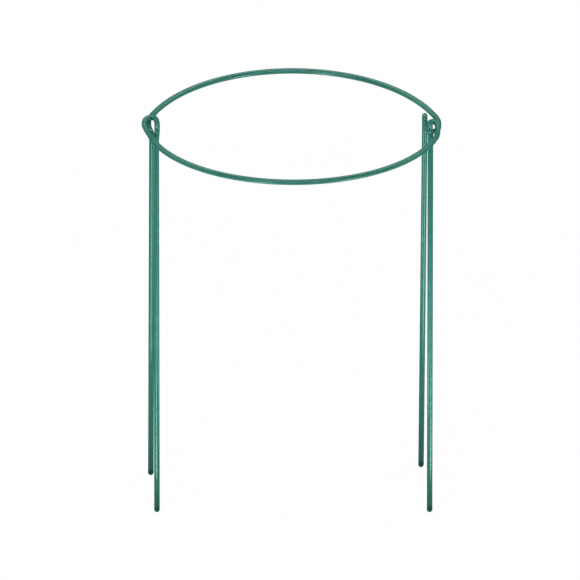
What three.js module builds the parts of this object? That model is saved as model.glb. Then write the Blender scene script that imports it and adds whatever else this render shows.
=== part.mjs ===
// Half-round plant support, sold as a pair that closes into a full ring.
// Millimetres, +Z up, the feet at the bottom. The viewer of the photograph stands at -Y.
// Each half is one bent steel wire in a plastic coat, with a rounded seal on each leg end.
import * as THREE from 'three';

// Driving dimensions.
const coreDiameter = 3.1;
const coreClearance = 0.35;
const coatThickness = 0.5;
const coatBoreDiameter = coreDiameter + 2 * coreClearance;
const wireDiameter = coatBoreDiameter + 2 * coatThickness;
const ringRadius = 125.3;
const legLength = 339.15;
const hookWidth = 10;
const hookDepth = 25;
const tallHookLift = 4.1;
const ringStepHeight = 2.8;
const sealShoulderHeight = 0.3;
const sealHeight = sealShoulderHeight + wireDiameter / 2;
const sealFlatDiameter = 2;
const fitGap = 0.3;
const straightBelowHook = 5;
const straightRun = 12;

// Shares of the dimensions above.
const rearRadiusShare = 1.037;
const frontCentreShare = 0.146;
const rearCentreShare = -0.1224;
const ringSlopeShare = 0.038;
const frontStepShare = 0.335;
const rearStepShare = -0.861;
const rearRollShare = -0.0042;
const hookRiseShare = 1.246;
const sealCurveShares = [1, 0.97, 0.88, 0.74, 0.56];

const hookRise = hookRiseShare * wireDiameter;
const tallHookRise = hookRise + tallHookLift;
const arcSteps = 20;
const stationsPerStep = 2;
const coatSides = 12;
const boreSides = 12;
const coreSides = 10;
const sealSides = 16;

// Hook routes from the arc to the leg: outward by hook width, back by hook depth, up by hook rise.
const wideHookShares = [
  [0.88, 0.395, 0.214],
  [1.03, 0.7, 0.357],
  [0.9, 0.975, 0.542],
  [0.52, 1.075, 0.656],
  [0.155, 0.985, 0.727],
  [-0.005, 0.77, 0.785],
  [-0.065, 0.505, 0.827],
  [-0.075, 0.255, 0.842],
  [-0.07, 0.108, 0.699],
  [-0.055, 0.02, 0.3],
  [-0.025, -0.007, -0.242],
];
const narrowHookShares = [
  [0.6, 0.055, 0.214],
  [0.615, 0.27, 0.328],
  [0.61, 0.45, 0.44],
  [0.575, 0.6, 0.53],
  [0.47, 0.69, 0.585],
  [0.285, 0.723, 0.656],
  [0.09, 0.69, 0.727],
  [-0.015, 0.6, 0.77],
  [-0.04, 0.45, 0.81],
  [-0.035, 0.28, 0.842],
  [-0.02, 0.119, 0.727],
  [-0.008, 0.024, 0.328],
  [0, -0.007, -0.242],
];
const tallHookShares = [
  [1.18, -0.003, 0.085],
  [1.13, 0.201, 0.017],
  [0.93, 0.348, -0.026],
  [0.653, 0.409, -0.034],
  [0.337, 0.382, 0.008],
  [0.124, 0.307, 0.169],
  [0.03, 0.256, 0.406],
  [0.004, 0.241, 0.76],
  [-0.004, 0.205, 0.99],
  [-0.004, 0.115, 1.088],
  [-0.004, 0.025, 0.99],
  [-0.004, -0.01, 0.76],
  [-0.004, -0.003, 0.355],
];
const plainBendShares = [
  [0.299, -0.598, 0.2],
  [0.239, -0.335, 0.157],
  [0.111, -0.126, 0.086],
  [0.034, -0.041, -0.171],
  [0, -0.014, -0.685],
];

// Where each leg stands: its top and its lean, as shares of the ring radius and of the leg length.
const legs = {
  frontLeft: { side: -1, topShare: [-0.9314, -0.0579], leanShare: [0, -0.0923], arcAngle: -79.2 },
  frontRight: { side: 1, topShare: [0.9295, -0.0579], leanShare: [-0.0003, -0.0923], arcAngle: 76.1 },
  rearLeft: { side: -1, topShare: [-0.9612, 0.0188], leanShare: [-0.0055, 0.0849], arcAngle: -71.3 },
  rearRight: { side: 1, topShare: [0.8917, 0.1475], leanShare: [-0.0069, 0.0819], arcAngle: 71.2 },
};
legs.frontLeft.hookShares = wideHookShares;
legs.frontRight.hookShares = narrowHookShares;
legs.rearLeft.hookShares = plainBendShares;
legs.rearRight.hookShares = tallHookShares;
legs.frontLeft.hookRise = hookRise;
legs.frontRight.hookRise = hookRise;
legs.rearLeft.hookRise = hookRise;
legs.rearRight.hookRise = tallHookRise;

const halves = [
  {
    name: 'front',
    bulge: -1,
    radius: ringRadius,
    centreY: ringRadius * frontCentreShare,
    height: ringStepHeight * frontStepShare,
    rollShare: 0,
    left: legs.frontLeft,
    right: legs.frontRight,
  },
  {
    name: 'rear',
    bulge: 1,
    radius: ringRadius * rearRadiusShare,
    centreY: ringRadius * rearCentreShare,
    height: ringStepHeight * rearStepShare,
    rollShare: rearRollShare,
    left: legs.rearLeft,
    right: legs.rearRight,
  },
];

// A smooth wire through the given points, with its stations spread evenly from point to point.
class WireRoute extends THREE.CatmullRomCurve3 {
  constructor(points) {
    super(points, false, 'centripetal');
  }

  getUtoTmapping(u) {
    return u;
  }
}

function legPoint(leg, height) {
  const fall = -height;
  return new THREE.Vector3(
    ringRadius * leg.topShare[0] + fall * leg.leanShare[0],
    ringRadius * leg.topShare[1] + fall * leg.leanShare[1],
    height,
  );
}

function hookPoints(half, leg) {
  const top = legPoint(leg, 0);
  return leg.hookShares.map(([out, back, up]) => {
    const x = top.x + leg.side * out * hookWidth;
    const y = top.y - half.bulge * back * hookDepth;
    return new THREE.Vector3(x, y, half.height + up * leg.hookRise + x * half.rollShare);
  });
}

function legPoints(hook, leg) {
  const hookEnd = hook[hook.length - 1].z;
  return [
    legPoint(leg, hookEnd - straightBelowHook),
    legPoint(leg, hookEnd - straightBelowHook - straightRun),
    legPoint(leg, -legLength),
  ];
}

function arcPoints(half) {
  const points = [];
  const from = THREE.MathUtils.degToRad(half.left.arcAngle);
  const to = THREE.MathUtils.degToRad(half.right.arcAngle);
  for (let i = 0; i <= arcSteps; i += 1) {
    const angle = from + (to - from) * (i / arcSteps);
    const x = half.radius * Math.sin(angle);
    const reach = half.radius * Math.cos(angle);
    const z = half.height + reach * ringSlopeShare + x * half.rollShare;
    points.push(new THREE.Vector3(x, half.centreY + half.bulge * reach, z));
  }
  return points;
}

function wireRoute(half) {
  const left = hookPoints(half, half.left);
  const right = hookPoints(half, half.right);
  const points = [
    ...legPoints(left, half.left).reverse(),
    ...left.reverse(),
    ...arcPoints(half),
    ...right,
    ...legPoints(right, half.right),
  ];
  return new WireRoute(points);
}

function roundShape(kind, diameter, sides) {
  const outline = new kind();
  for (let i = 0; i < sides; i += 1) {
    const angle = (i / sides) * 2 * Math.PI;
    const x = (diameter / 2) * Math.cos(angle);
    const y = (diameter / 2) * Math.sin(angle);
    if (i === 0) {
      outline.moveTo(x, y);
    } else {
      outline.lineTo(x, y);
    }
  }
  outline.closePath();
  return outline;
}

function sweep(section, route) {
  const steps = (route.points.length - 1) * stationsPerStep;
  return new THREE.ExtrudeGeometry(section, { steps, bevelEnabled: false, extrudePath: route });
}

function sealGeometry() {
  const radius = wireDiameter / 2;
  const flat = sealFlatDiameter / 2;
  const profile = [new THREE.Vector2(0, 0), new THREE.Vector2(radius, 0)];
  for (const share of sealCurveShares) {
    const drop = Math.sqrt(1 - share * share);
    profile.push(new THREE.Vector2(radius * share, -sealShoulderHeight - (radius - flat / 2) * drop));
  }
  profile.push(new THREE.Vector2(flat, -sealHeight));
  profile.push(new THREE.Vector2(0, -sealHeight));
  profile.reverse();
  return new THREE.LatheGeometry(profile, sealSides);
}

function sealMesh(leg, colour) {
  const geometry = sealGeometry();
  const foot = legPoint(leg, -legLength);
  const down = new THREE.Vector3(leg.leanShare[0], leg.leanShare[1], -1).normalize();
  const turn = new THREE.Quaternion().setFromUnitVectors(new THREE.Vector3(0, -1, 0), down);
  geometry.applyQuaternion(turn);
  geometry.translate(foot.x + down.x * fitGap, foot.y + down.y * fitGap, foot.z + down.z * fitGap);
  return new THREE.Mesh(geometry, colour);
}

const coatColour = new THREE.MeshStandardMaterial({ color: 0x1f7a63, roughness: 0.35, metalness: 0 });
const sealColour = new THREE.MeshStandardMaterial({ color: 0x1b6b57, roughness: 0.45, metalness: 0 });
const steelColour = new THREE.MeshStandardMaterial({ color: 0x8d9294, roughness: 0.4, metalness: 1 });

const group = new THREE.Group();
group.name = 'half_round_plant_support';

function add(name, mesh) {
  mesh.name = name;
  group.add(mesh);
}

for (const half of halves) {
  const route = wireRoute(half);
  const coat = roundShape(THREE.Shape, wireDiameter, coatSides);
  coat.holes.push(roundShape(THREE.Path, coatBoreDiameter, boreSides));
  const core = roundShape(THREE.Shape, coreDiameter, coreSides);
  add(`${half.name}_coating`, new THREE.Mesh(sweep(coat, route), coatColour));
  add(`${half.name}_core_wire`, new THREE.Mesh(sweep(core, route), steelColour));
  add(`${half.name}_seal_left`, sealMesh(half.left, sealColour));
  add(`${half.name}_seal_right`, sealMesh(half.right, sealColour));
}

// The origin goes to the middle of the footprint, on the ground.
const bounds = new THREE.Box3().setFromObject(group);
const middle = bounds.getCenter(new THREE.Vector3());
for (const mesh of group.children) {
  mesh.geometry.translate(-middle.x, -middle.y, -bounds.min.z);
}

export default group;
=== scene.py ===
"""Half-round plant support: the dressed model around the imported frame.

Lengths are millimetres, in the axes of the part's source before its origin moves to the footprint,
down to the stage. The stage, and everything that Blender gets, is in metres in the row frame.
"""

import math
from collections import namedtuple

import bmesh
import bpy
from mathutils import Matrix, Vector, noise


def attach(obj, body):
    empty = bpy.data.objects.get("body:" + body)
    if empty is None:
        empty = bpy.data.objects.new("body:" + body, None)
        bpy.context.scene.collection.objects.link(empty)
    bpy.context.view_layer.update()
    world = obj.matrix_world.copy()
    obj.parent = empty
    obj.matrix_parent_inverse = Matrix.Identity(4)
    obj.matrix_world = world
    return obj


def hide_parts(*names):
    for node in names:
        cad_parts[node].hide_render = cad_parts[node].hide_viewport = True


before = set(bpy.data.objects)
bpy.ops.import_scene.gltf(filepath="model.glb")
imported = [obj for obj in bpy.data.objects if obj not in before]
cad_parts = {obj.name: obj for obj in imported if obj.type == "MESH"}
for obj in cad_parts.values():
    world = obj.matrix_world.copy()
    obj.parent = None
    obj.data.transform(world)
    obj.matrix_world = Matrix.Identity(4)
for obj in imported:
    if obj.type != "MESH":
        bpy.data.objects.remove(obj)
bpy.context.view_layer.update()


# Sizes, as in the part's source.
MM = 0.001
WIRE_R = 2.4
BORE_R = 1.9
CORE_R = 1.55
RING_R = 125.3
LEG_LENGTH = 339.15
HOOK_WIDTH = 10.0
HOOK_DEPTH = 25.0
HOOK_RISE = 5.981
TALL_HOOK_LIFT = 4.1
TALL_HOOK_RISE = HOOK_RISE + TALL_HOOK_LIFT
RING_STEP = 2.8
SEAL_SHOULDER = 0.3
SEAL_HEIGHT = SEAL_SHOULDER + WIRE_R
SEAL_FLAT_R = 1.0
FIT_GAP = 0.3
BELOW_HOOK = 5.0
STRAIGHT_RUN = 12.0

# Shares of those sizes, as in the part's source.
REAR_RADIUS_SHARE = 1.037
FRONT_CENTRE_SHARE = 0.146
REAR_CENTRE_SHARE = -0.1224
RING_SLOPE_SHARE = 0.038
FRONT_STEP_SHARE = 0.335
REAR_STEP_SHARE = -0.861
REAR_ROLL_SHARE = -0.0042

# Where the source's axes lie in the row frame.
ORIGIN = Vector((1.747, -3.791, 342.229))

# How finely the wires are made.
ARC_STEPS = 20
STATION_STEP = 6.0
FEWEST_STATIONS = 5
RELAX_PASSES = 2
COAT_SIDES = 28
CORE_SIDES = 20
SEAL_SIDES = 40
SEAL_ROWS = 12
SHORTEST = 1e-4

# Hook routes from the arc to the leg: out by hook width, back by hook depth, up by hook rise.
WIDE_HOOK_SHARES = (
    (0.88, 0.395, 0.214), (1.03, 0.7, 0.357), (0.9, 0.975, 0.542), (0.52, 1.075, 0.656),
    (0.155, 0.985, 0.727), (-0.005, 0.77, 0.785), (-0.065, 0.505, 0.827), (-0.075, 0.255, 0.842),
    (-0.07, 0.108, 0.699), (-0.055, 0.02, 0.3), (-0.025, -0.007, -0.242),
)
NARROW_HOOK_SHARES = (
    (0.6, 0.055, 0.214), (0.615, 0.27, 0.328), (0.61, 0.45, 0.44), (0.575, 0.6, 0.53),
    (0.47, 0.69, 0.585), (0.285, 0.723, 0.656), (0.09, 0.69, 0.727), (-0.015, 0.6, 0.77),
    (-0.04, 0.45, 0.81), (-0.035, 0.28, 0.842), (-0.02, 0.119, 0.727), (-0.008, 0.024, 0.328),
    (0.0, -0.007, -0.242),
)
TALL_HOOK_SHARES = (
    (1.18, -0.003, 0.085), (1.13, 0.201, 0.017), (0.93, 0.348, -0.026), (0.653, 0.409, -0.034),
    (0.337, 0.382, 0.008), (0.124, 0.307, 0.169), (0.03, 0.256, 0.406), (0.004, 0.241, 0.76),
    (-0.004, 0.205, 0.99), (-0.004, 0.115, 1.088), (-0.004, 0.025, 0.99), (-0.004, -0.01, 0.76),
    (-0.004, -0.003, 0.355),
)
PLAIN_BEND_SHARES = (
    (0.299, -0.598, 0.2), (0.239, -0.335, 0.157), (0.111, -0.126, 0.086), (0.034, -0.041, -0.171),
    (0.0, -0.014, -0.685),
)


class Leg:
    """One leg with its hook. Its top is in shares of the ring radius, its lean of the height."""

    def __init__(self, side, top_share, lean_share, arc_angle, hook_shares, rise=HOOK_RISE):
        self.side, self.top, self.lean = side, top_share, lean_share
        self.arc_angle, self.hook_shares, self.rise = arc_angle, hook_shares, rise

    def at(self, height):
        return Vector((
            RING_R * self.top[0] - height * self.lean[0],
            RING_R * self.top[1] - height * self.lean[1],
            height,
        ))


class Half:
    """One wire: a leg, a hook, the arc, a hook and a leg."""

    def __init__(self, name, bulge, radius, centre_y, height, roll, left, right):
        self.name, self.bulge, self.radius = name, bulge, radius
        self.centre_y, self.height, self.roll = centre_y, height, roll
        self.left, self.right = left, right

    def hook(self, leg):
        top = leg.at(0.0)
        points = []
        for out, back, up in leg.hook_shares:
            x = top.x + leg.side * out * HOOK_WIDTH
            y = top.y - self.bulge * back * HOOK_DEPTH
            points.append(Vector((x, y, self.height + up * leg.rise + x * self.roll)))
        return points

    def arc(self):
        first, last = math.radians(self.left.arc_angle), math.radians(self.right.arc_angle)
        points = []
        for i in range(ARC_STEPS + 1):
            angle = first + (last - first) * i / ARC_STEPS
            x = self.radius * math.sin(angle)
            reach = self.radius * math.cos(angle)
            z = self.height + reach * RING_SLOPE_SHARE + x * self.roll
            points.append(Vector((x, self.centre_y + self.bulge * reach, z)))
        return points

    def points(self):
        left, right = self.hook(self.left), self.hook(self.right)

        def straight(hook, leg):
            start = hook[-1].z - BELOW_HOOK
            return [leg.at(start), leg.at(start - STRAIGHT_RUN), leg.at(-LEG_LENGTH)]

        down_left, down_right = straight(left, self.left), straight(right, self.right)
        return down_left[::-1] + left[::-1] + self.arc() + right + down_right


FRONT = Half(
    name="front",
    bulge=-1,
    radius=RING_R,
    centre_y=RING_R * FRONT_CENTRE_SHARE,
    height=RING_STEP * FRONT_STEP_SHARE,
    roll=0.0,
    left=Leg(-1, (-0.9314, -0.0579), (0.0, -0.0923), -79.2, WIDE_HOOK_SHARES),
    right=Leg(1, (0.9295, -0.0579), (-0.0003, -0.0923), 76.1, NARROW_HOOK_SHARES),
)
REAR = Half(
    name="rear",
    bulge=1,
    radius=RING_R * REAR_RADIUS_SHARE,
    centre_y=RING_R * REAR_CENTRE_SHARE,
    height=RING_STEP * REAR_STEP_SHARE,
    roll=REAR_ROLL_SHARE,
    left=Leg(-1, (-0.9612, 0.0188), (-0.0055, 0.0849), -71.3, PLAIN_BEND_SHARES),
    right=Leg(1, (0.8917, 0.1475), (-0.0069, 0.0819), 71.2, TALL_HOOK_SHARES, TALL_HOOK_RISE),
)


def smooth_route(points):
    """Stations on the centripetal spline through the points, at least one every STATION_STEP."""
    stations = []
    last = len(points) - 1
    for i in range(last):
        p1, p2 = points[i], points[i + 1]
        p0 = points[i - 1] if i else p1 * 2 - p2
        p3 = points[i + 2] if i + 2 <= last else p2 * 2 - p1
        pairs = ((p0, p1), (p1, p2), (p2, p3))
        d0, d1, d2 = (max((b - a).length ** 0.5, SHORTEST) for a, b in pairs)
        t1 = ((p1 - p0) / d0 - (p2 - p0) / (d0 + d1) + (p2 - p1) / d1) * d1
        t2 = ((p2 - p1) / d1 - (p3 - p1) / (d1 + d2) + (p3 - p2) / d2) * d1
        count = max(FEWEST_STATIONS, math.ceil((p2 - p1).length / STATION_STEP))
        for k in range(count):
            t = k / count
            stations.append(
                p1 + t1 * t + (p2 * 3 - p1 * 3 - t1 * 2 - t2) * t * t
                + (p1 * 2 - p2 * 2 + t1 + t2) * t ** 3
            )
    stations.append(points[last])
    return stations


def relaxed(stations):
    """Evens the bends out, as a wire bent round a pin comes out, with both ends kept."""
    for _ in range(RELAX_PASSES):
        triples = zip(stations, stations[1:], stations[2:])
        inner = [a * 0.25 + b * 0.5 + c * 0.25 for a, b, c in triples]
        stations = [stations[0]] + inner + [stations[-1]]
    return stations


# A place on the wire: two directions across it, its distance from the first tip, and the bend.
Section = namedtuple("Section", "place across over distance bend")


def sections(stations):
    """Sections along the stations that turn no more than the wire does."""
    out = []
    last = len(stations) - 1
    tangents = []
    for i in range(len(stations)):
        a, b = stations[max(i - 1, 0)], stations[min(i + 1, last)]
        tangents.append((b - a).normalized())
    across = tangents[0].cross(Vector((0, 1, 0))).normalized()
    distance = 0.0
    for i, (place, tangent) in enumerate(zip(stations, tangents)):
        if i:
            distance += (place - stations[i - 1]).length
            turn = tangents[i - 1].rotation_difference(tangent)
            across = (turn @ across).normalized()
        across = (across - tangent * across.dot(tangent)).normalized()
        bend = Vector((0, 0, 0))
        if 0 < i < last:
            step = (stations[i + 1] - stations[i - 1]).length
            bend = (tangents[i + 1] - tangents[i - 1]) / max(step, SHORTEST)
        over = tangent.cross(across).normalized()
        out.append(Section(place, across, over, distance, bend))
    return out


def ray_at(section, angle):
    return section.across * math.cos(angle) + section.over * math.sin(angle)


def into_scene(bm, name):
    mesh = bpy.data.meshes.new(name)
    bm.to_mesh(mesh)
    bm.free()
    obj = bpy.data.objects.new(name, mesh)
    bpy.context.scene.collection.objects.link(obj)
    return obj


def tube(name, route, outer, inner=None, sides=COAT_SIDES):
    """A closed wire or sleeve along the sections; outer and inner give the radius at a section."""
    bm = bmesh.new()
    uv = bm.loops.layers.uv.new("wire")

    def skin(radius):
        rings = []
        for section in route:
            ring = []
            for k in range(sides):
                angle = 2 * math.pi * k / sides
                reach = ray_at(section, angle) * radius(section, angle)
                ring.append(bm.verts.new((section.place + reach + ORIGIN) * MM))
            rings.append(ring)
        return rings

    def sheathe(rings, flip):
        for i in range(len(rings) - 1):
            for k in range(sides):
                n = (k + 1) % sides
                corners = [rings[i][k], rings[i][n], rings[i + 1][n], rings[i + 1][k]]
                where = [(k, i), (k + 1, i), (k + 1, i + 1), (k, i + 1)]
                if flip:
                    corners.reverse()
                    where.reverse()
                face = bm.faces.new(corners)
                face.smooth = True
                for loop, (u, v) in zip(face.loops, where):
                    loop[uv].uv = (u / sides, route[v].distance * MM)

    shell = skin(outer)
    sheathe(shell, False)
    if inner is None:
        bm.faces.new(shell[0][::-1])
        bm.faces.new(shell[-1])
    else:
        bore = skin(inner)
        sheathe(bore, True)
        for end, flip in ((0, True), (-1, False)):
            for k in range(sides):
                n = (k + 1) % sides
                corners = [shell[end][k], shell[end][n], bore[end][n], bore[end][k]]
                bm.faces.new(corners[::-1] if flip else corners)
    bm.normal_update()
    return into_scene(bm, name)


# The coat's unevenness: shares of its radius, and how fast each changes along the wire.
COAT_MEAN_SHARE = 0.994
UNEVEN_SHARE, UNEVEN_PER_MM = 0.006, 0.045
FINE_SHARE, FINE_PER_MM = 0.002, 0.35
DRIFT_PER_MM, NOISE_LAYER = 0.01, 3.7
# Creases inside a bend: their depth grows with the bend, up to a limit.
CREASE_PER_BEND, CREASE_LIMIT, CREASES_PER_MM = 0.32, 0.07, 5.2


def coat_radius(section, angle):
    """The coat's outer radius: a little uneven along its length, and creased inside tight bends."""
    along = section.distance
    drift = section.place.y * DRIFT_PER_MM
    uneven = noise.noise(Vector((along * UNEVEN_PER_MM, drift, NOISE_LAYER)))
    fine = noise.noise(Vector((along * FINE_PER_MM, math.cos(angle), math.sin(angle))))
    inside = max(0.0, ray_at(section, angle).dot(section.bend))
    crease = inside * CREASE_PER_BEND * (0.5 + 0.5 * math.sin(along * CREASES_PER_MM))
    share = COAT_MEAN_SHARE + UNEVEN_SHARE * uneven + FINE_SHARE * fine
    return WIRE_R * share - min(crease, CREASE_LIMIT)


def even(radius):
    return lambda section, angle: radius


def lathed(name, profile, foot, down):
    """A turned piece: profile rows are (radius, distance below the foot), closed on its axis."""
    bm = bmesh.new()
    uv = bm.loops.layers.uv.new("wire")
    turn = Vector((0, 0, -1)).rotation_difference(down)
    rows = []
    for radius, below in profile:
        ring = []
        for k in range(SEAL_SIDES):
            angle = 2 * math.pi * k / SEAL_SIDES
            local = Vector((radius * math.cos(angle), radius * math.sin(angle), -below))
            ring.append(bm.verts.new((foot + turn @ local + ORIGIN) * MM))
        rows.append(ring)
    for i in range(len(rows) - 1):
        for k in range(SEAL_SIDES):
            n = (k + 1) % SEAL_SIDES
            face = bm.faces.new([rows[i][k], rows[i + 1][k], rows[i + 1][n], rows[i][n]])
            face.smooth = True
            where = ((k, i), (k, i + 1), (k + 1, i + 1), (k + 1, i))
            for loop, (u, v) in zip(face.loops, where):
                loop[uv].uv = (u / SEAL_SIDES, profile[v][1] * MM)
    bm.faces.new(rows[0])
    bm.faces.new(rows[-1][::-1])
    bmesh.ops.recalc_face_normals(bm, faces=bm.faces)
    return into_scene(bm, name)


# The seal's rounded rim: shares of the wire's radius, and how far below its top each lies. The top
# comes nearer to the coat than the solid's does, so that no light shows through the joint.
SEAL_JOINT = 0.08
SEAL_TOP = SEAL_JOINT - FIT_GAP
SEAL_RIM = ((0.95, 0.0), (0.99, 0.08), (1.0, 0.2))
FLAT_EDGE_SHARE, FLAT_INNER_SHARE = 0.8, 0.5


def seal_profile():
    """The rounded end: a short collar, then a dome down to a small flat."""
    rows = [(WIRE_R * share, SEAL_TOP + below) for share, below in SEAL_RIM]
    dome = SEAL_HEIGHT - SEAL_SHOULDER
    flat_angle = math.acos(SEAL_FLAT_R / WIRE_R)
    for i in range(SEAL_ROWS + 1):
        angle = flat_angle * i / SEAL_ROWS
        rows.append((WIRE_R * math.cos(angle), SEAL_SHOULDER + dome * math.sin(angle)))
    dome_end = rows[-1][1]
    rows.append((SEAL_FLAT_R * FLAT_EDGE_SHARE, (dome_end + SEAL_HEIGHT) / 2))
    rows.append((SEAL_FLAT_R * FLAT_INNER_SHARE, SEAL_HEIGHT))
    return rows


# Materials. Colours are linear.
COAT_LIGHT, COAT_DARK, COAT_ROUGH = (0.018, 0.155, 0.115), (0.014, 0.128, 0.095), 0.13
SEAL_LIGHT, SEAL_DARK, SEAL_ROUGH = (0.0165, 0.142, 0.105), (0.013, 0.117, 0.087), 0.2
WORN_SHARES, WORN_STRENGTH = (1.5, 1.25, 1.35), 0.22
GLOSS_TINT, GLOSS_LEVEL, PLASTIC_IOR = (0.55, 1.0, 0.86, 1.0), 0.45, 1.5
GLOSS_DROP, GLOSS_RISE = 0.02, 0.05
# The coat mirrors less at its edges than clear plastic does: its roughness rises from the first to
# the second share of the turn away, by the third value.
EDGE_START, EDGE_END, EDGE_ROUGH = 0.15, 0.6, 0.8
CLOUD_SCALE, SCUFF_SCALE, GRAIN_SCALE = 70.0, 420.0, 300.0
CLOUD_EDGES, SCUFF_EDGES, GRAIN_EDGES = (0.3, 0.7), (0.58, 0.74), (0.35, 0.7)
LINES_ACROSS, LINES_ALONG = 46.0, 14.0
LINE_STRENGTH, LINE_DEPTH = 0.05, 0.00006
PIT_STRENGTH, PIT_DEPTH = 0.02, 0.00005
STEEL_DARK, STEEL_LIGHT = (0.33, 0.34, 0.35), (0.56, 0.57, 0.58)
STEEL_ROUGH = (0.3, 0.5)
BLACK, WHITE = (0.0, 0.0, 0.0), (1.0, 1.0, 1.0)
# The colour sockets of a Mix node.
MIX_FACTOR, MIX_A, MIX_B, MIX_RESULT = 0, 6, 7, 2


class Finish:
    """A material in the making: adds nodes, sets their inputs and links them."""

    def __init__(self, name):
        self.material = bpy.data.materials.new(name)
        self.material.use_nodes = True
        self.tree = self.material.node_tree
        self.shader = self.tree.nodes["Principled BSDF"]

    def add(self, kind, **inputs):
        node = self.tree.nodes.new(kind)
        self.set(node, **inputs)
        return node

    def set(self, node, **inputs):
        for name, value in inputs.items():
            node.inputs[name.replace("_", " ")].default_value = value

    def link(self, a, out, b, into):
        self.tree.links.new(a.outputs[out], b.inputs[into])

    def speckle(self, place, scale, detail, roughness=0.5):
        node = self.add("ShaderNodeTexNoise", Scale=scale, Detail=detail, Roughness=roughness)
        self.link(place, "Object", node, "Vector")
        return node

    def ramp(self, source, edges, colours):
        node = self.add("ShaderNodeValToRGB")
        for element, place, colour in zip(node.color_ramp.elements, edges, colours):
            element.position = place
            element.color = (*colour, 1.0)
        self.link(source, "Fac", node, "Fac")
        return node

    def roughness(self, source, low, high):
        node = self.add("ShaderNodeMapRange", To_Min=low, To_Max=high)
        self.link(source, "Fac", node, "Value")
        self.link(node, "Result", self.shader, "Roughness")
        return node

    def roughen_edges(self, speckled):
        """Adds to the speckled roughness where the surface turns away."""
        facing = self.add("ShaderNodeLayerWeight")
        edge = self.add("ShaderNodeMapRange", From_Min=EDGE_START, From_Max=EDGE_END)
        self.set(edge, To_Max=EDGE_ROUGH)
        self.link(facing, "Facing", edge, "Value")
        both = self.add("ShaderNodeMath")
        self.link(speckled, "Result", both, 0)
        self.link(edge, "Result", both, 1)
        self.link(both, 0, self.shader, "Roughness")

    def bump(self, source, strength, depth):
        node = self.add("ShaderNodeBump", Strength=strength, Distance=depth)
        self.link(source, "Fac", node, "Height")
        return node


def green_coat(name, light, dark, rough):
    """Extruded plastic: soft cloudy colour, fine lines along the wire, small duller scuffs."""
    finish = Finish(name)
    place = finish.add("ShaderNodeTexCoord")
    cloud = finish.speckle(place, CLOUD_SCALE, 3.0)
    tone = finish.ramp(cloud, CLOUD_EDGES, (dark, light))

    # Fine lines left by the die, drawn out along the wire.
    uv = finish.add("ShaderNodeUVMap")
    uv.uv_map = "wire"
    stretch = finish.add("ShaderNodeMapping", Scale=(LINES_ACROSS, LINES_ALONG, 1.0))
    finish.link(uv, "UV", stretch, "Vector")
    lines = finish.add("ShaderNodeTexNoise", Scale=1.0, Detail=2.0)
    finish.link(stretch, "Vector", lines, "Vector")

    # Scuffs and handling marks.
    scuff = finish.speckle(place, SCUFF_SCALE, 4.0, 0.65)
    marks = finish.ramp(scuff, SCUFF_EDGES, (BLACK, WHITE))
    strength = finish.add("ShaderNodeMath")
    strength.operation = "MULTIPLY"
    strength.inputs[1].default_value = WORN_STRENGTH
    finish.link(marks, "Color", strength, 0)
    worn = finish.add("ShaderNodeMix")
    worn.data_type = "RGBA"
    paler = (colour * share for colour, share in zip(light, WORN_SHARES))
    worn.inputs[MIX_B].default_value = (*paler, 1.0)
    finish.link(strength, 0, worn, MIX_FACTOR)
    finish.link(tone, "Color", worn, MIX_A)
    finish.link(worn, MIX_RESULT, finish.shader, "Base Color")

    finish.roughen_edges(finish.roughness(scuff, rough - GLOSS_DROP, rough + GLOSS_RISE))
    grooves = finish.bump(lines, LINE_STRENGTH, LINE_DEPTH)
    pits = finish.bump(scuff, PIT_STRENGTH, PIT_DEPTH)
    finish.link(grooves, "Normal", pits, "Normal")
    finish.link(pits, "Normal", finish.shader, "Normal")
    finish.set(finish.shader, IOR=PLASTIC_IOR, Specular_IOR_Level=GLOSS_LEVEL)
    finish.set(finish.shader, Specular_Tint=GLOSS_TINT)
    return finish.material


def drawn_steel():
    finish = Finish("drawn_steel")
    grain = finish.speckle(finish.add("ShaderNodeTexCoord"), GRAIN_SCALE, 5.0)
    tone = finish.ramp(grain, GRAIN_EDGES, (STEEL_DARK, STEEL_LIGHT))
    finish.link(tone, "Color", finish.shader, "Base Color")
    finish.roughness(grain, *STEEL_ROUGH)
    finish.set(finish.shader, Metallic=1.0)
    return finish.material


COAT = green_coat("green_coat", COAT_LIGHT, COAT_DARK, COAT_ROUGH)
SEAL = green_coat("green_seal", SEAL_LIGHT, SEAL_DARK, SEAL_ROUGH)
STEEL = drawn_steel()


def finish_piece(obj, material, slot, body, *nodes):
    obj.data.materials.append(material)
    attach(obj, body)
    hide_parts(*nodes)


for half in (FRONT, REAR):
    route = sections(relaxed(smooth_route(half.points())))
    body = half.name + "_half"
    coat = tube(half.name + "_coat", route, coat_radius, even(BORE_R))
    finish_piece(coat, COAT, "green_coat", body, half.name + "_coating")
    core = tube(half.name + "_core", route, even(CORE_R), sides=CORE_SIDES)
    finish_piece(core, STEEL, "steel_core", body, half.name + "_core_wire")
    for side, leg in (("left", half.left), ("right", half.right)):
        down = Vector((leg.lean[0], leg.lean[1], -1)).normalized()
        foot = leg.at(-LEG_LENGTH) + down * FIT_GAP
        seal = lathed(half.name + "_tip_" + side, seal_profile(), foot, down)
        finish_piece(seal, SEAL, "green_seal", body, half.name + "_seal_" + side)

# The stage: floor, world, lamps and camera, in metres and watts.
FLOOR_RADIUS, FLOOR_SIDES, FLOOR_DROP = 12.0, 96, 0.0005
FLOOR_GREY = (0.05, 0.05, 0.05, 1.0)
OPAQUE_WHITE = (1.0, 1.0, 1.0, 1.0)
# What the floor adds where it shows, so that with its own grey it comes out white.
FLOOR_GLOW = 0.96
# The world's strength on the object, and where it shows.
WORLD_LIGHT, WORLD_SHOWN = 0.02, 1.0
MIDDLE, HIGHER = (0, 0, 0.25), (0, 0, 0.3)

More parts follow.
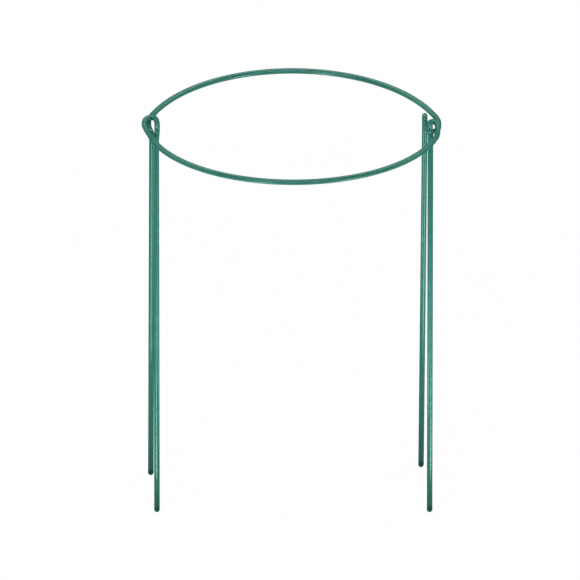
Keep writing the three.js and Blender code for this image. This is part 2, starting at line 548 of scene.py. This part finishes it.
# Lamps: name, place, aimed at, width, height, watts, shown in gloss, lights the colour.
LAMPS = (
    ("key", (-0.2, -2.0, 1.6), HIGHER, 3.4, 0.25, 40, True, True),
    ("back", (0.0, 2.2, 1.35), HIGHER, 3.0, 0.3, 5, True, True),
    ("fill_back", (0.0, 2.4, 0.6), MIDDLE, 3.0, 1.0, 24, False, True),
    ("left", (-2.0, 1.2, 1.3), HIGHER, 0.3, 1.8, 11, True, True),
    ("right", (2.0, 1.2, 1.3), HIGHER, 0.3, 1.8, 11, True, True),
    ("fill_left", (-2.3, -0.2, 0.6), MIDDLE, 1.0, 1.0, 13, False, True),
    ("fill_right", (2.3, -0.2, 0.6), MIDDLE, 1.0, 1.0, 13, False, True),
    ("top", (0.0, -0.3, 2.4), HIGHER, 1.2, 1.2, 4, True, True),
    ("sheen", (0.0, 0.6, 1.8), HIGHER, 2.8, 0.8, 42, True, False),
)
# Light cards flat on the floor in front of each pair of legs: name, x of the legs, turn.
CARDS = (("card_left", -0.115, -12), ("card_right", 0.117, 36))
CARD_WIDTH, CARD_LENGTH, CARD_WATTS = 0.12, 0.6, 2.6
CARD_REACH, CARD_START_Y, CARD_HEIGHT = 0.42, -0.03, 0.001

# The camera. A longer lens fits the photograph a little better, but from farther away than this
# the other views clip the object off.
CAMERA_DISTANCE = 23.0
CAMERA_ELEVATION = 26.49
CAMERA_TARGET_MM = Vector((-2.99, 0.0, -149.56))
PICTURE_PIXELS, MM_PER_PIXEL = 580, 0.853
SENSOR_WIDTH = 36.0
CLIP_START = 1.0


def seen_directly(tree):
    """1 on the rays of the camera, mirrors and glass, and 0 on those that light the object."""
    path = tree.nodes.new("ShaderNodeLightPath")
    seen = path.outputs["Is Camera Ray"]
    for ray in ("Is Glossy Ray", "Is Transmission Ray"):
        either = tree.nodes.new("ShaderNodeMath")
        either.operation = "MAXIMUM"
        tree.links.new(seen, either.inputs[0])
        tree.links.new(path.outputs[ray], either.inputs[1])
        seen = either.outputs[0]
    return seen


def floor_material():
    material = bpy.data.materials.new("floor")
    material.use_nodes = True
    tree = material.node_tree
    tree.nodes.clear()
    out = tree.nodes.new("ShaderNodeOutputMaterial")
    paper = tree.nodes.new("ShaderNodeBsdfDiffuse")
    paper.inputs["Color"].default_value = FLOOR_GREY
    glow = tree.nodes.new("ShaderNodeEmission")
    glow.inputs["Color"].default_value = OPAQUE_WHITE
    level = tree.nodes.new("ShaderNodeMath")
    level.operation = "MULTIPLY"
    level.inputs[1].default_value = FLOOR_GLOW
    tree.links.new(seen_directly(tree), level.inputs[0])
    tree.links.new(level.outputs[0], glow.inputs["Strength"])
    both = tree.nodes.new("ShaderNodeAddShader")
    tree.links.new(paper.outputs[0], both.inputs[0])
    tree.links.new(glow.outputs[0], both.inputs[1])
    tree.links.new(both.outputs[0], out.inputs["Surface"])
    return material


def make_floor():
    bm = bmesh.new()
    bmesh.ops.create_circle(bm, cap_ends=True, radius=FLOOR_RADIUS, segments=FLOOR_SIDES)
    floor = into_scene(bm, "floor")
    floor.location = (0, 0, -FLOOR_DROP)
    floor.data.materials.append(floor_material())


def make_world():
    world = bpy.data.worlds.new("studio")
    bpy.context.scene.world = world
    world.use_nodes = True
    tree = world.node_tree
    tree.nodes.clear()
    out = tree.nodes.new("ShaderNodeOutputWorld")
    back = tree.nodes.new("ShaderNodeBackground")
    back.inputs["Color"].default_value = OPAQUE_WHITE
    level = tree.nodes.new("ShaderNodeMapRange")
    level.inputs["To Min"].default_value = WORLD_LIGHT
    level.inputs["To Max"].default_value = WORLD_SHOWN
    tree.links.new(seen_directly(tree), level.inputs["Value"])
    tree.links.new(level.outputs["Result"], back.inputs["Strength"])
    tree.links.new(back.outputs[0], out.inputs["Surface"])


def aim(obj, place, at):
    obj.location = place
    obj.rotation_euler = (Vector(at) - Vector(place)).to_track_quat("-Z", "Y").to_euler()


def area_light(name, width, height, watts):
    """A rectangle of light that the camera doesn't see."""
    data = bpy.data.lights.new(name, "AREA")
    data.shape = "RECTANGLE"
    data.size = width
    data.size_y = height
    data.energy = watts
    obj = bpy.data.objects.new(name, data)
    bpy.context.scene.collection.objects.link(obj)
    obj.visible_camera = False
    return obj


def make_lamps():
    for name, place, at, width, height, watts, in_gloss, in_colour in LAMPS:
        obj = area_light(name, width, height, watts)
        aim(obj, place, at)
        obj.visible_glossy = in_gloss
        obj.visible_diffuse = in_colour
    for name, x, turn in CARDS:
        angle = math.radians(turn)
        obj = area_light(name, CARD_WIDTH, CARD_LENGTH, CARD_WATTS)
        side = x + CARD_REACH * math.sin(angle)
        front = CARD_START_Y - CARD_REACH * math.cos(angle)
        obj.location = (side, front, CARD_HEIGHT)
        obj.rotation_euler = (math.pi, 0, angle)


def make_camera():
    """A very long lens, as the near-parallel lines of the photograph ask for."""
    data = bpy.data.cameras.new("camera")
    camera = bpy.data.objects.new("camera", data)
    bpy.context.scene.collection.objects.link(camera)
    bpy.context.scene.camera = camera
    target = (CAMERA_TARGET_MM + ORIGIN) * MM
    elevation = math.radians(CAMERA_ELEVATION)
    width = PICTURE_PIXELS * MM_PER_PIXEL * MM
    data.sensor_width = SENSOR_WIDTH
    data.lens = SENSOR_WIDTH * CAMERA_DISTANCE / width
    data.clip_start = CLIP_START
    data.clip_end = 2 * CAMERA_DISTANCE
    away = Vector((0, -math.cos(elevation), math.sin(elevation)))
    aim(camera, target + away * CAMERA_DISTANCE, target)


make_floor()
make_world()
make_lamps()
make_camera()
bpy.context.scene.view_settings.view_transform = "Standard"

bpy.context.view_layer.update()
